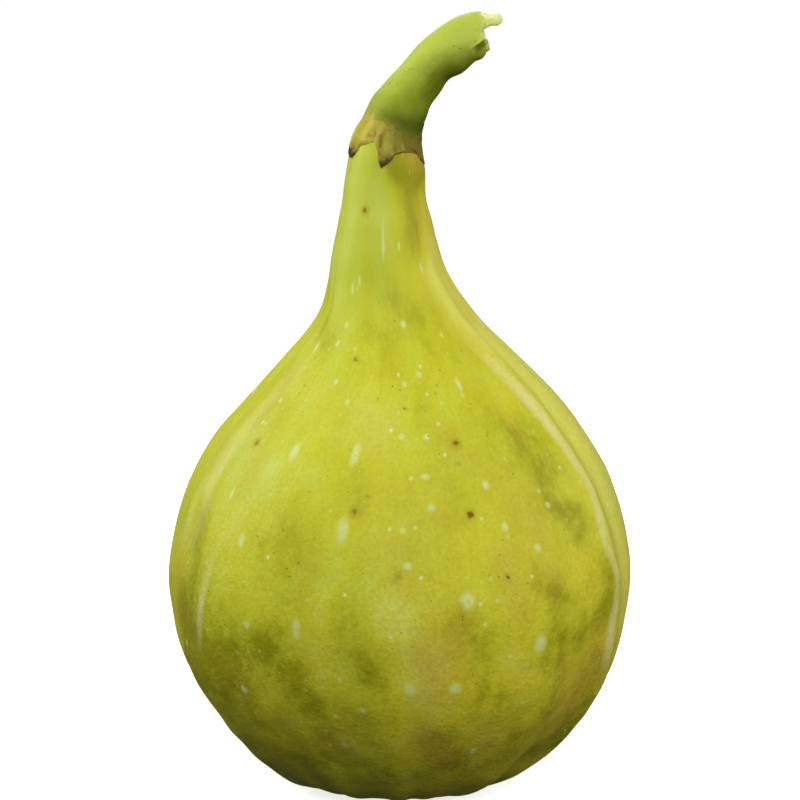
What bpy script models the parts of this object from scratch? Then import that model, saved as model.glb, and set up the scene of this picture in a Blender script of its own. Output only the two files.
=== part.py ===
"""A fresh green fig, picked with its stalk, standing on its base.

The fruit is turned from one outline, then pushed out into ribs, narrowed front to back and leaned at the
neck. Three basal bracts hang from the collar where the stalk joins, and small scales close the eye
underneath.

Units are metres and +Z is up. The origin is on the surface that the fig stands on, under the middle of its
width. The camera side is -Y: azimuth 0 faces -Y and azimuth 90 faces +X.
"""

import math

import bmesh
import bpy
from mathutils import Vector

MM = 0.001
GAP = 0.3 * MM  # clearance between separate pieces that lie against each other

# ---- Driving dimensions -------------------------------------------------------------------------------

WIDTH = 47.4 * MM  # of the turned shape, across its widest part; the ribs stand out from it
DEPTH_SHARE = 0.97  # the fruit is a little narrower front to back than across
COLLAR_HEIGHT = 68.2 * MM  # where the fruit ends and the stalk begins
COLLAR_RADIUS = 2.95 * MM
COLLAR_TILT = math.radians(15)  # the collar faces up and to the right

FOOT_RADIUS = 5.8 * MM  # the flat ring that the fig stands on, between the eye and the curve of the base
EYE_RADIUS = 2.8 * MM
EYE_DEPTH = 1.5 * MM

NECK_LEAN = 1.4 * MM  # how far the neck stands to the left of the body
NECK_LEAN_FROM = 46.0 * MM
NECK_LEAN_TO = 59.0 * MM

STALK_RADIUS = 2.5 * MM

BODY_STEPS = 72  # turned steps around the fruit
ROWS_PER_SPAN = 2  # profile rows between two outline points

# The outline of the fruit from the collar down to the foot, as (radius, height).
OUTLINE = (
    (COLLAR_RADIUS, COLLAR_HEIGHT),
    (3.20 * MM, 67.4 * MM),
    (3.45 * MM, 66.2 * MM),
    (3.95 * MM, 64.6 * MM),
    (4.30 * MM, 62.0 * MM),
    (5.25 * MM, 57.6 * MM),
    (6.20 * MM, 53.4 * MM),
    (8.20 * MM, 49.3 * MM),
    (11.75 * MM, 45.1 * MM),
    (15.60 * MM, 40.9 * MM),
    (19.30 * MM, 36.3 * MM),
    (22.00 * MM, 31.0 * MM),
    (WIDTH / 2, 24.0 * MM),
    (23.35 * MM, 18.4 * MM),
    (21.90 * MM, 12.8 * MM),
    (18.90 * MM, 6.9 * MM),
    (14.50 * MM, 2.75 * MM),
    (10.00 * MM, 0.75 * MM),
    (FOOT_RADIUS, 0.0),
)

# Ribs down the fruit, as (azimuth in degrees, rise, half width in degrees).
RIBS = (
    (-178, 0.35 * MM, 11),
    (-150, 0.50 * MM, 10),
    (-121, 0.40 * MM, 12),
    (-93, 0.50 * MM, 9),
    (-59, 0.60 * MM, 9),
    (-32, 0.30 * MM, 10),
    (-9, 0.30 * MM, 9),
    (17, 0.30 * MM, 10),
    (40, 0.30 * MM, 9),
    (66, 0.70 * MM, 9),
    (92, 0.50 * MM, 9),
    (120, 0.40 * MM, 12),
    (149, 0.50 * MM, 10),
)
RIB_BOTTOM = 0.5 * MM  # the ribs grow out of the base from here
RIB_FULL = (12.0 * MM, 36.0 * MM)  # and are full between these heights
RIB_TOP = 60.0 * MM

# Basal bracts, as (name, azimuth in degrees, half width in degrees, length).
BRACTS = (
    ("basal_bract_front", -8, 50, 2.5 * MM),
    ("basal_bract_left", -103, 36, 2.1 * MM),
    ("basal_bract_right", 103, 52, 2.3 * MM),
)
BRACT_TOP = 67.9 * MM
BRACT_THICKNESS = 0.35 * MM
BRACT_GAP = 0.2 * MM
BRACT_TIP_SHARE = 0.12  # width of a bract's blunt tip, as a share of its width

# The stalk's centreline from the collar to its broken end, as (x, y, height) in millimetres.
STALK_PATH = (
    (-1.32, 0.00, 68.50),
    (-0.70, 0.05, 70.15),
    (0.35, 0.15, 71.85),
    (1.50, 0.25, 73.40),
    (3.05, 0.40, 75.15),
    (4.75, 0.60, 76.55),
    (6.55, 0.80, 77.65),
    (8.45, 1.00, 78.60),
)
# Its thickness along that line, as shares of STALK_RADIUS.
STALK_TAPER = (1.27, 1.20, 1.13, 1.06, 1.01, 1.00, 0.99, 0.92)
STALK_POINTS_PER_SPAN = 3

EYE_SCALES = 5
EYE_SCALE_THICKNESS = 0.35 * MM
EYE_SCALE_INNER = 0.45 * MM
EYE_SCALE_OUTER = EYE_RADIUS - 3 * GAP
EYE_SCALE_RISE = 0.35 * MM  # the scales dome downwards from rim to middle

# ---- Materials ----------------------------------------------------------------------------------------

FINISHES = {
    "skin": ((0.46, 0.47, 0.05), 0.42),
    "stalk": ((0.28, 0.36, 0.03), 0.45),
    "bract": ((0.36, 0.28, 0.05), 0.60),
    "eye_scale": ((0.30, 0.22, 0.07), 0.65),
}


def finish(name):
    """A plain skin or bark material."""
    colour, roughness = FINISHES[name]
    material = bpy.data.materials.new(name)
    material.use_nodes = True
    shader = material.node_tree.nodes["Principled BSDF"]
    shader.inputs["Base Color"].default_value = (*colour, 1)
    shader.inputs["Roughness"].default_value = roughness
    shader.inputs["Metallic"].default_value = 0
    return material


# ---- Curves and the growth of the skin ----------------------------------------------------------------


def smooth_line(points, per_span):
    """Points along a smooth curve through the given ones, per_span to each span (a Catmull-Rom spline)."""
    ends = [2 * points[0] - points[1], *points, 2 * points[-1] - points[-2]]
    line = []
    for a, b, c, d in zip(ends, ends[1:], ends[2:], ends[3:]):
        for step in range(per_span):
            t = step / per_span
            line.append(
                0.5 * (2 * b + (c - a) * t + (2 * a - 5 * b + 4 * c - d) * t**2 + (3 * b - a - 3 * c + d) * t**3)
            )
    return [*line, points[-1].copy()]


def smooth_step(value, low, high):
    """0 below low, 1 above high, and an S curve between."""
    t = min(1.0, max(0.0, (value - low) / (high - low)))
    return t * t * (3 - 2 * t)


def outline():
    """The fruit's outline as (radius, 0, height) points, from the collar down to the foot."""
    return smooth_line([Vector((radius, 0, height)) for radius, height in OUTLINE], ROWS_PER_SPAN)


def turned_radius(height):
    """Radius of the turned fruit at a height, between the outline's points."""
    line = outline()
    for upper, lower in zip(line, line[1:]):
        if lower.z <= height <= upper.z:
            share = (height - lower.z) / (upper.z - lower.z)
            return lower.x + share * (upper.x - lower.x)
    raise ValueError(f"the outline has no height {height}")


def rib(azimuth, height):
    """How far the skin stands out from the turned shape, at an azimuth in degrees."""
    full_from, full_to = RIB_FULL
    fade = smooth_step(height, RIB_BOTTOM, full_from) * (1 - smooth_step(height, full_to, RIB_TOP))
    swell = 0.0
    for centre, rise, half_width in RIBS:
        apart = (azimuth - centre + 180) % 360 - 180
        swell += rise * math.exp(-((apart / half_width) ** 2))
    return fade * swell


def grow(point):
    """Where a point of the turned shape goes: out into ribs, narrower in depth, leaning at the neck."""
    radius = math.hypot(point.x, point.y)
    azimuth = math.degrees(math.atan2(point.x, -point.y))
    stretch = 1 + rib(azimuth, point.z) / max(radius, FOOT_RADIUS)
    neck = smooth_step(point.z, NECK_LEAN_FROM, NECK_LEAN_TO)
    tilt = math.tan(COLLAR_TILT) * smooth_step(point.z, NECK_LEAN_TO, COLLAR_HEIGHT)
    return Vector((point.x * stretch - NECK_LEAN * neck, point.y * stretch * DEPTH_SHARE, point.z - tilt * point.x))


# ---- Shape helpers ------------------------------------------------------------------------------------


def new_object(name, mesh, finish_name, collection):
    """A smooth-shaded mesh object with its material, in the fig's collection."""
    obj = bpy.data.objects.new(name, mesh)
    mesh.materials.append(MATERIALS[finish_name])
    mesh.shade_smooth()
    collection.objects.link(obj)
    return obj


def turned_mesh(name, profile, steps):
    """A closed mesh turned about Z from a profile that runs down its outer side, on the +X side."""
    mesh = bpy.data.meshes.new(name)
    shape = bmesh.new()
    verts = [shape.verts.new(point) for point in profile]
    for upper, lower in zip(verts, verts[1:]):
        shape.edges.new((upper, lower))
    shape.to_mesh(mesh)
    shape.free()

    lathe = bpy.data.objects.new(name + "_lathe", mesh)
    bpy.context.scene.collection.objects.link(lathe)
    turn = lathe.modifiers.new("turn", "SCREW")
    turn.steps = turn.render_steps = steps
    turn.use_merge_vertices = True
    turn.merge_threshold = 0.01 * MM
    evaluated = lathe.evaluated_get(bpy.context.evaluated_depsgraph_get())
    turned = bpy.data.meshes.new_from_object(evaluated)
    turned.name = name
    bpy.data.objects.remove(lathe)
    return turned


def face_the_way(shape, direction):
    """Turns each face of an open sheet so that its front looks the given way."""
    for face in shape.faces:
        face.normal_update()
        if face.normal.dot(direction) < 0:
            face.normal_flip()


def thickened(obj, thickness):
    """Gives an open sheet its thickness, outwards from the side that faces the fruit."""
    shell = obj.modifiers.new("thickness", "SOLIDIFY")
    shell.thickness = thickness
    shell.offset = 1


# ---- The pieces ---------------------------------------------------------------------------------------


def make_fruit(collection):
    """The whole fruit in one piece: body, neck, flat foot and the hollow of the eye."""
    seat = [Vector((0, 0, COLLAR_HEIGHT))]
    eye = [
        Vector((EYE_RADIUS, 0, 0)),
        Vector((EYE_RADIUS - GAP, 0, EYE_DEPTH * 0.6)),
        Vector((EYE_RADIUS - 2 * GAP, 0, EYE_DEPTH)),
        Vector((0, 0, EYE_DEPTH)),
    ]
    mesh = turned_mesh("fig_body", seat + outline() + eye, BODY_STEPS)
    for vertex in mesh.vertices:
        vertex.co = grow(vertex.co)
    return new_object("fig_body", mesh, "skin", collection)


def make_stalk(collection):
    """The stalk, bent over to the right, as a tapered tube that ends where it was snapped off."""
    line = smooth_line([Vector(point) * MM for point in STALK_PATH], STALK_POINTS_PER_SPAN)
    taper = smooth_line([Vector((share, 0, 0)) for share in STALK_TAPER], STALK_POINTS_PER_SPAN)
    # Square to the collar at its lower end.
    line[1] = line[0] + Vector((math.sin(COLLAR_TILT), 0, math.cos(COLLAR_TILT))) * (line[1] - line[0]).length

    curve = bpy.data.curves.new("stalk", "CURVE")
    curve.dimensions = "3D"
    curve.bevel_depth = STALK_RADIUS
    curve.bevel_resolution = 4
    curve.use_fill_caps = True
    spline = curve.splines.new("POLY")
    spline.points.add(len(line) - 1)
    for point, place, share in zip(spline.points, line, taper):
        point.co = (*place, 1)
        point.radius = share.x
    curve.materials.append(MATERIALS["stalk"])
    stalk = bpy.data.objects.new("stalk", curve)
    collection.objects.link(stalk)
    return stalk


def make_bract(collection, name, azimuth, half_width, length):
    """One basal bract: a small pointed scale that hangs from the collar and hugs the neck."""
    across, down = 10, 5
    shape = bmesh.new()
    bmesh.ops.create_grid(shape, x_segments=across, y_segments=down, size=1)
    for vertex in shape.verts:
        sideways, fall = vertex.co.x, (1 - vertex.co.y) / 2
        height = BRACT_TOP - fall * length
        narrowing = 1 - (1 - BRACT_TIP_SHARE) * fall**1.3
        angle = math.radians(azimuth + sideways * half_width * narrowing)
        radius = turned_radius(height) + BRACT_GAP
        vertex.co = grow(Vector((radius * math.sin(angle), -radius * math.cos(angle), height)))
    outwards = Vector((math.sin(math.radians(azimuth)), -math.cos(math.radians(azimuth)), 0))
    face_the_way(shape, outwards)
    mesh = bpy.data.meshes.new(name)
    shape.to_mesh(mesh)
    shape.free()
    bract = new_object(name, mesh, "bract", collection)
    thickened(bract, BRACT_THICKNESS)
    return bract


def make_eye_scale(collection, number):
    """One of the small scales that close the eye: a sector of a shallow dome inside the hollow."""
    across, inwards = 6, 4
    name = f"eye_scale_{number + 1}"
    middle = 2 * math.pi * number / EYE_SCALES
    shape = bmesh.new()
    bmesh.ops.create_grid(shape, x_segments=across, y_segments=inwards, size=1)
    for vertex in shape.verts:
        sideways, share = vertex.co.x, (1 - vertex.co.y) / 2
        radius = EYE_SCALE_INNER + share * (EYE_SCALE_OUTER - EYE_SCALE_INNER)
        half_angle = math.pi / EYE_SCALES - math.asin(min(1.0, GAP / 2 / radius))
        angle = middle + sideways * half_angle
        height = EYE_DEPTH - GAP - EYE_SCALE_RISE * (1 - share**2)
        vertex.co = Vector((radius * math.sin(angle), -radius * math.cos(angle) * DEPTH_SHARE, height))
    face_the_way(shape, Vector((0, 0, -1)))
    mesh = bpy.data.meshes.new(name)
    shape.to_mesh(mesh)
    shape.free()
    scale = new_object(name, mesh, "eye_scale", collection)
    thickened(scale, EYE_SCALE_THICKNESS)
    return scale


def clear_scene():
    for obj in list(bpy.data.objects):
        bpy.data.objects.remove(obj)


clear_scene()
MATERIALS = {name: finish(name) for name in FINISHES}
fig = bpy.data.collections.new("fresh_fig")
bpy.context.scene.collection.children.link(fig)

make_fruit(fig)
make_stalk(fig)
for bract in BRACTS:
    make_bract(fig, *bract)
for number in range(EYE_SCALES):
    make_eye_scale(fig, number)
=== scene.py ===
import math
import random

import bmesh
import bpy
import numpy as np
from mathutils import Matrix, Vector, noise


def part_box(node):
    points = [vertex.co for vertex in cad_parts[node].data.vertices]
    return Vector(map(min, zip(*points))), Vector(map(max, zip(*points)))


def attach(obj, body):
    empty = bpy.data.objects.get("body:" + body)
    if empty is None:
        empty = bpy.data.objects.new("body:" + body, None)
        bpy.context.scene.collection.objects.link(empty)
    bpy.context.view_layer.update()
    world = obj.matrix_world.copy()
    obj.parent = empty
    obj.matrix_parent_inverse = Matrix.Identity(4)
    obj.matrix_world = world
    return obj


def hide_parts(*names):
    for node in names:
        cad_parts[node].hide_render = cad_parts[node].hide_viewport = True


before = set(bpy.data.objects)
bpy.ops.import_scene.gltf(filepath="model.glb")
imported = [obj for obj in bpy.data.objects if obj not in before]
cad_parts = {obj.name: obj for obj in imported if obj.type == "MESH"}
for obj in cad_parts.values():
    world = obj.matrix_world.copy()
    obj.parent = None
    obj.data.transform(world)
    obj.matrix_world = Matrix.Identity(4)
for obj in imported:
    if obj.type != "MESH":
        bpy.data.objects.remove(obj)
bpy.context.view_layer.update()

# ---- The drawing ----
# Lengths below are in millimetres of a drawing whose fruit is DRAWN_HEIGHT tall, and MM brings them to the
# frame. Azimuth 0 is the front of the fig, which faces -Y, and azimuth 90 is its right side, towards +X.

DRAWN_HEIGHT = 68.99
MM = (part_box("fig_body")[1].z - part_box("fig_body")[0].z) / DRAWN_HEIGHT

GIRTH = 23.8  # radius of the turned shape at its widest
GIRTH_HEIGHT = 24.0
DEPTH_SHARE = 0.97  # the fruit is a little narrower front to back
COLLAR_HEIGHT = 68.2
COLLAR_TILT = math.radians(15)  # the collar slopes down to the right
NECK_HEIGHT = 59.0  # where that slope begins

TURN_STEPS = 90  # the fruit is turned in coarse steps and rows, and then subdivided
TURN_ROWS = 66
FINER = 4
TURNED_DOUBLES = 1e-4  # vertices of the coarse turned shape nearer than this are one
DOUBLES = 0.0002 * MM  # and of any closed shape at its end

# Outline of the fruit from the middle of the collar down to the foot and into the eye, as (radius, height).
OUTLINE = (
    (0.00, 68.10), (1.50, 68.10), (2.60, 68.05), (3.15, 67.85), (3.44, 67.50), (3.60, 67.00),
    (3.85, 66.00), (3.98, 65.00), (4.10, 63.80), (4.38, 61.70), (4.88, 59.65), (5.32, 57.50),
    (6.38, 53.40), (8.47, 49.30), (12.20, 45.10), (16.00, 40.90), (19.50, 36.30), (22.12, 31.00),
    (GIRTH, GIRTH_HEIGHT), (23.50, 18.40), (22.00, 12.80), (18.15, 6.90), (13.85, 2.75), (10.10, 0.80),
    (7.60, 0.14), (5.60, 0.00), (3.80, 0.02), (2.95, 0.40), (2.62, 1.00), (2.20, 1.42),
    (1.20, 1.50), (0.00, 1.50),
)
# The middle of the fruit's sections, as (x, height): its shoulder swells right and its neck leans left.
MIDDLE_LINE = (
    (0.00, 0.0), (-0.10, 8.0), (-0.18, 14.0), (-0.08, 20.0), (0.00, 28.0), (0.12, 36.0), (0.42, 41.0),
    (0.27, 45.0), (-0.19, 49.0), (-0.52, 51.0), (-0.98, 53.0), (-1.36, 55.0), (-1.50, 57.0),
    (-1.55, 60.0), (-1.60, 62.5), (-1.50, 64.0), (-1.32, 66.0), (-1.25, 68.2),
)

# Ribs and furrows: azimuth at the girth, how far it drifts by the top, rise, and half width in degrees.
RIBS = (
    (-178, 0, 0.35, 11), (-150, 2, 0.50, 10), (-121, 0, 0.40, 12), (-95, 3, 0.52, 8), (-84, 5, -0.16, 5),
    (-57, 4, 0.42, 9), (-65, 2, -0.16, 5), (-32, 4, 0.25, 9), (-21, 2, -0.14, 6), (-9, 0, 0.22, 7),
    (2, 0, -0.10, 5), (16, -2, 0.26, 9), (38, -8, 0.20, 8), (51, -11, -0.40, 8), (65, -9, 0.66, 7),
    (64, -9, 0.12, 3.6), (72, -7, -0.20, 4.5), (80, -3, 0.14, 5), (92, 0, 0.42, 9), (120, 0, 0.40, 12),
    (149, -2, 0.50, 10),
)
RIB_HEIGHTS = (0.5, 12.0, 36.0, 60.0)  # where ribs start, are full, begin to fade and end
# Swellings round the foot, each from one azimuth and height to another, its half width and its rise.
SWELLINGS = (
    (-80, 2.4, -60, 1.3, 2.2, 0.38), (74, 6.0, 62, 3.0, 2.6, 0.22), (150, 0.6, 170, 0.5, 2.2, 0.30),
)
# Shallow lumps of the skin: rise, size and seed, all over the body and then round the foot.
BODY_LUMPS = ((0.16, 7.0, 1), (0.05, 2.2, 2))
FOOT_LUMPS = (0.16, 3.4, 3)
# Puckers round the foot: how many, how far turned in radians, and share of PUCKER_RISE.
PUCKERS = ((17, 0.8, 1.0), (11, -0.6, 0.7), (26, 0.0, 0.5))
PUCKER_RISE = 0.13

# Soft marks on the skin, each from one azimuth and height to another, its half width and its depth.
# Most are the skin's own olive and pale patches; some are painted shade and painted light, as noted below.
SHADES = (
    # Darker and more olive.
    (-46, 18, -36, 18.5, 2.4, 0.54), (-31, 20, -22, 13.5, 1.8, 0.58), (-58, 20, -52, 17, 2.2, 0.36),
    (-66, 21, -71, 13, 2.8, 0.80), (-60, 15, -44, 14.5, 3.0, 0.62), (-13, 24, -10, 19, 1.8, 0.42),
    (-7, 16.5, -4, 15, 1.7, 0.36), (14, 23, 20, 21, 1.9, 0.42), (13, 10, 18, 7, 2.2, 0.48),
    # Marks beside the right crest, at azimuth 44 to 66 and height 22 to 40, are partly olive skin and
    # partly painted shade in its furrows.
    (62, 25.5, 62, 22, 1.5, 0.72), (60, 20.5, 51, 19, 1.9, 0.56), (37, 25.5, 42, 23.5, 1.8, 0.46),
    (60, 15, 64, 9, 2.4, 0.46), (41, 19, 43, 12, 2.1, 0.44), (44.5, 39.5, 48, 33, 2.5, 0.52),
    (30, 41, 33, 33, 2.2, 0.28), (15, 36, 16, 32, 2.0, 0.18), (-4, 51, 12, 50, 2.2, 0.22),
    (-6, 55, -2, 53, 1.8, 0.22), (-12, 49, -9, 46, 1.7, 0.22), (20, 51, 26, 47, 1.7, 0.18),
    (-60, 49, -50, 48, 1.6, 0.26), (-15, 37, -13, 34, 1.6, 0.22), (-30, 32.5, -30, 31, 1.6, 0.26),
    (-28, 28, -28, 24, 1.9, 0.26), (-64, 30, -60, 24, 1.9, 0.44), (-37, 29, -36, 26, 1.8, 0.22),
    # The last two marks on the next line are painted shade on the neck's right, below the collar.
    (-50, 23, -48, 21, 1.8, 0.20), (36, 67, 39, 57.5, 2.1, 0.82), (20, 66, 62, 65.8, 1.9, 0.95),
    (36, 54, 34, 51.5, 1.7, 0.22), (-28, 6.5, -6, 6, 2.0, 0.34), (-22, 10, -21, 8, 1.5, 0.34),
    (-12, 12.5, -6, 12, 1.8, 0.22), (28, 13, 34, 9, 2.2, 0.30), (20, 18.5, 21, 16, 1.6, 0.30),
    (54, 6, 72, 7, 2.2, 0.60), (6, 42, 10, 39, 1.8, 0.20), (65, 32, 66, 29.8, 0.8, 0.40),
    (-36, 47, -28, 45, 2.6, 0.16), (52, 31.5, 53, 29.5, 1.6, 0.38),
    # Paler.
    (5, 16, 10, 12, 2.2, -0.40), (-16, 24, 18, 24, 2.2, -0.16), (29, 18, 32, 15, 2.0, -0.30),
    (-1, 23, 8, 18, 2.6, -0.42), (-20, 23, -18, 17, 1.6, -0.20), (24, 12, 26, 10, 1.6, -0.20),
    (-15, 9.8, -13, 8.5, 1.4, -0.28), (-39, 15, -36, 12.5, 1.6, -0.32), (52, 17, 53, 15, 1.4, -0.24),
    (-30, 45, -9, 40, 4.0, -0.20), (-26, 36, -24, 34, 1.7, -0.30), (-50, 31, -49, 27, 1.6, -0.20),
    (23, 30, 28, 28, 2.0, -0.14), (-4, 42, -4, 38, 1.4, -0.14), (43, 42.5, 43, 41.5, 1.4, -0.22),
    (51, 25.5, 53, 26.5, 1.3, -0.24), (50, 34, 54, 33, 1.4, -0.20), (-4, 9, 7, 9.5, 1.3, -0.22),
    # The marks on the next line and the first on the one after, pale down the right side, are partly a pale
    # rib face and partly painted light from the right.
    (78, 52, 83, 12, 3.4, -0.80), (63, 56, 72, 26, 2.6, -0.50), (58, 58, 62, 48, 1.6, -0.28),
    (70, 30, 71, 20, 1.5, -0.46), (-24, 63, 8, 61, 2.4, -0.12), (-20, 52, -10, 50.5, 1.4, -0.22),
    (-70, 56, -64, 52, 1.8, -0.24), (-42, 36, -49, 30, 1.4, -0.26), (-63, 38, -77, 27, 2.2, -0.32),
    # Both kinds on the back.
    (150, 44, 140, 30, 3.0, 0.35), (-150, 30, -140, 18, 2.8, 0.40), (178, 24, 166, 14, 3.0, 0.40),
    (-118, 46, -112, 34, 2.6, 0.35), (112, 30, 118, 18, 2.6, 0.40), (-170, 42, -176, 30, 3.0, -0.30),
    (128, 22, 132, 14, 2.4, -0.30), (-124, 26, -122, 14, 2.4, -0.25),
)
# Marks where the skin turns reddish brown, drawn in the same way.
BLUSHES = (
    (13, 21.5, 14, 19, 1.9, 0.34), (6, 19, 9, 16, 1.9, 0.42), (9, 10, 13, 7.5, 2.0, 0.46),
    (24, 10, 27, 9, 1.6, 0.32), (60, 19, 62, 14, 1.8, 0.30), (27, 28, 30, 23, 1.9, 0.34),
    (14, 40, 19, 37.5, 1.5, 0.24), (28, 37, 34, 31, 2.0, 0.18), (0, 29, 0, 26, 1.6, 0.20),
    (-22, 28, -22, 26.5, 1.4, 0.22), (-60, 40, -46, 35, 2.4, 0.14), (-74, 37, -72, 35, 2.0, 0.18),
    (-22, 9, -20, 8, 1.6, 0.24), (62, 62, 68, 50, 1.8, 0.24), (36, 52, 41, 48, 1.8, 0.16),
    (67, 28.8, 67, 27.4, 0.8, 0.40), (52, 67, 84, 66, 1.6, 0.50), (-74, 27, -68, 22, 2.4, 0.24),
    (-74, 20, -66, 15, 2.0, 0.16), (-48, 16, -40, 16, 1.8, 0.12), (-13, 41.5, -10, 39.5, 2.2, 0.15),
    (45, 16, 47, 12, 1.8, 0.24), (56, 14, 58, 9, 2.0, 0.34), (42, 41, 43, 39.5, 1.4, 0.20),
    (38, 31, 40, 26, 1.8, 0.14), (56, 24, 66, 23, 1.6, 0.14),
    (-166, 20, -160, 17, 2.6, 0.42), (104, 14, 112, 11, 2.6, 0.40),
)

RIPEST_SIDE = 105  # azimuth at which the skin is the most yellow

# Pale lines down the crests: half width, strength, and (azimuth, height) of points along each.
CRESTS = (
    (
        0.45, 0.80,
        ((46, 49.0), (53, 44.0), (57, 39.4), (61, 34.0), (61.5, 28.0), (65, 24.0), (64, 20.0), (66, 13.0)),
    ),
    (1.05, 0.27, ((-56, 49.0), (-61, 43.6), (-67, 38.6), (-67, 33.7), (-63, 31.0), (-69, 25.0))),
    (0.36, 0.66, ((-50, 30.0), (-52, 27.8), (-55, 23.5), (-56, 21.8), (-59, 16.0))),
    (0.40, 0.42, ((141, 48.0), (149, 38.0), (151, 28.0), (147, 14.0))),
    (0.60, 0.34, ((-139, 48.0), (-147, 39.0), (-150, 30.0), (-146, 14.0))),
)
CREST_FAR = 9.0  # half widths from a crest at which it no longer shows

# Large pale flecks: azimuth, height, length and width.
FLECKS = (
    (-35, 37.8, 2.2, 1.00), (-14.6, 38.2, 2.8, 0.95), (-14.9, 31.2, 2.9, 1.30), (25, 44.1, 2.0, 0.60),
    (-44, 29.2, 1.8, 0.90), (-52, 33.3, 1.3, 0.60), (-25, 21.5, 2.3, 0.95), (16, 24.5, 1.9, 1.60),
    (36, 19.5, 2.0, 1.60), (14, 15.7, 1.3, 1.50), (2.6, 15.6, 1.5, 1.20), (-39, 21.2, 1.0, 1.00),
    (-16, 8.8, 1.1, 0.90), (-9, 13.3, 0.9, 0.80), (23, 7.9, 1.0, 1.00), (-43, 14.1, 1.1, 1.00),
    (-2.5, 58.0, 4.8, 0.34), (15.5, 57.5, 1.2, 0.30), (-28, 54.0, 1.4, 0.35), (-36, 53.1, 1.4, 0.35),
    (38, 55.2, 1.2, 0.30), (-54, 47.1, 1.5, 0.55), (-40, 47.8, 1.0, 0.50), (-38, 49.6, 0.9, 0.45),
    (4.7, 49.9, 0.9, 0.55), (8, 45.3, 0.9, 0.65), (0.7, 44.5, 0.8, 0.60), (-23, 42.7, 0.8, 0.65),
    (-31, 44.3, 0.8, 0.55), (7.5, 39.7, 0.8, 0.75), (-0.8, 39.8, 0.8, 0.70), (7, 36.2, 0.8, 0.95),
    (8, 33.4, 0.9, 1.05), (24.4, 35.2, 1.1, 0.85), (27.7, 31.2, 1.0, 0.75), (36.4, 28.9, 1.0, 0.95),
    (44, 32.8, 0.9, 0.85), (0.6, 31.3, 0.8, 0.80), (1.8, 28.0, 0.8, 0.95),
)
BACK_FLECKS = 46
MARK_FAR = 3.0  # half sizes from a fleck or a spot at which it no longer shows

# Brown spots: azimuth, height and size.
SPOTS = (
    (-52, 38.1, 0.6), (-24.4, 46.5, 0.45), (16.8, 39.0, 0.75), (-12.2, 33.0, 0.65), (-0.6, 27.1, 0.5),
    (18.5, 32.6, 0.70), (68, 26.1, 0.5), (27, 26.5, 0.45), (-26.0, 61.0, 0.5), (0.2, 42.3, 0.3),
    (-16.8, 38.6, 0.25), (-8.8, 34.4, 0.3), (16.6, 37.2, 0.3), (-1.4, 26.6, 0.35), (130, 33.0, 0.7),
    (-140, 27.0, 0.6), (172, 40.0, 0.5), (-110, 20.0, 0.6),
)

# Centreline of the stalk from inside the collar to the broken end, as (x, y, height, radius).
STALK_LINE = (
    (-1.25, 0.00, 67.00, 3.46), (-1.15, 0.00, 67.90, 3.42), (-0.92, 0.00, 68.80, 3.28),
    (-0.58, 0.04, 69.80, 3.12), (-0.14, 0.08, 70.85, 3.00), (0.22, 0.12, 71.50, 2.88),
    (0.92, 0.20, 72.75, 2.60), (1.86, 0.30, 73.97, 2.46), (3.72, 0.45, 76.10, 2.42),
    (5.87, 0.70, 77.70, 2.47), (7.00, 0.85, 78.40, 2.40), (7.90, 0.95, 78.85, 2.15),
    (8.60, 1.00, 79.05, 1.90),
)
STALK_SIDES = 120
STALK_RINGS = 170
# Rings that close the stalk's foot and its broken end, as (distance onwards, share of its radius).
FOOT_RINGS = ((0.35, 0.0), (0.20, 0.5), (0.05, 0.9))
END_RINGS = (
    (0.06, 0.96), (0.04, 0.88), (-0.16, 0.78), (-0.30, 0.62), (-0.24, 0.42), (-0.20, 0.2), (-0.2, 0.0),
)
# Marks near the broken end, in degrees round the stalk from its outer side to its front and on. The scar
# and the flap start, are full, begin to fade and end; the others have a middle and a half width.
SCAR_TURNS = (114, 119, 138, 158)
FLAP_TURNS = (140, 165, 205, 225)
LIP_TURN = (113, 3.5)
NOTCH_TURN = (100, 30)
SWELLING_TURN = (165, 42)
# The torn strand of pith at the broken end.
STRAND_LINE = (
    (7.50, 0.90, 79.70, 0.35), (8.20, 0.85, 79.98, 0.80), (8.80, 0.80, 80.10, 0.74),
    (9.40, 0.72, 80.15, 0.60), (9.90, 0.66, 80.18, 0.56), (10.30, 0.62, 80.22, 0.44),
    (10.52, 0.60, 80.24, 0.20),
)
STRAND_SIDES = 40
STRAND_RINGS = 36

# Basal bracts: name, azimuths of the left end, the tip and the right end, and the tip's height. They follow
# BRACT_LINE, (radius, height) of their outer face, from the stalk's foot down over the neck.
BRACTS = (
    ("front", -24, -8, 31, 65.4), ("left", -158, -67, -24, 65.5), ("right", 31, 84, 202, 66.3),
)
BRACT_LINE = (
    (2.96, 69.9), (3.18, 69.4), (3.34, 68.9), (3.46, 68.4), (3.57, 67.9), (3.68, 67.4), (3.79, 66.9),
    (3.92, 66.3), (4.05, 65.7), (4.20, 65.0),
)
BRACT_NOTCH = 0.50  # how far down their length the bracts part
# Marks on the bracts: azimuth, height, half width in degrees, half height and strength.
BROWN_FOLDS = (
    (-12, 67.6, 5, 1.5, 0.9), (2, 66.3, 9, 0.6, 0.8), (-31, 68.7, 8, 0.6, 0.4), (11, 67.6, 4, 0.5, 0.5),
    (50, 67.4, 12, 0.9, 0.5), (-64, 66.5, 11, 0.5, 0.8),
)
PALE_FOLDS = ((-21, 67.8, 4, 0.6, 0.6), (30, 67.6, 6, 0.8, 0.5))
BRACT_THICKNESS = 0.10
BRACT_ACROSS = 80
BRACT_DOWN = 60

EYE_SCALES = 5
EYE_SCALE_TIP = 0.25
EYE_SCALE_ROOT = 2.35
EYE_SCALE_THICKNESS = 0.22
EYE_SCALE_GRID = 24

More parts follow.
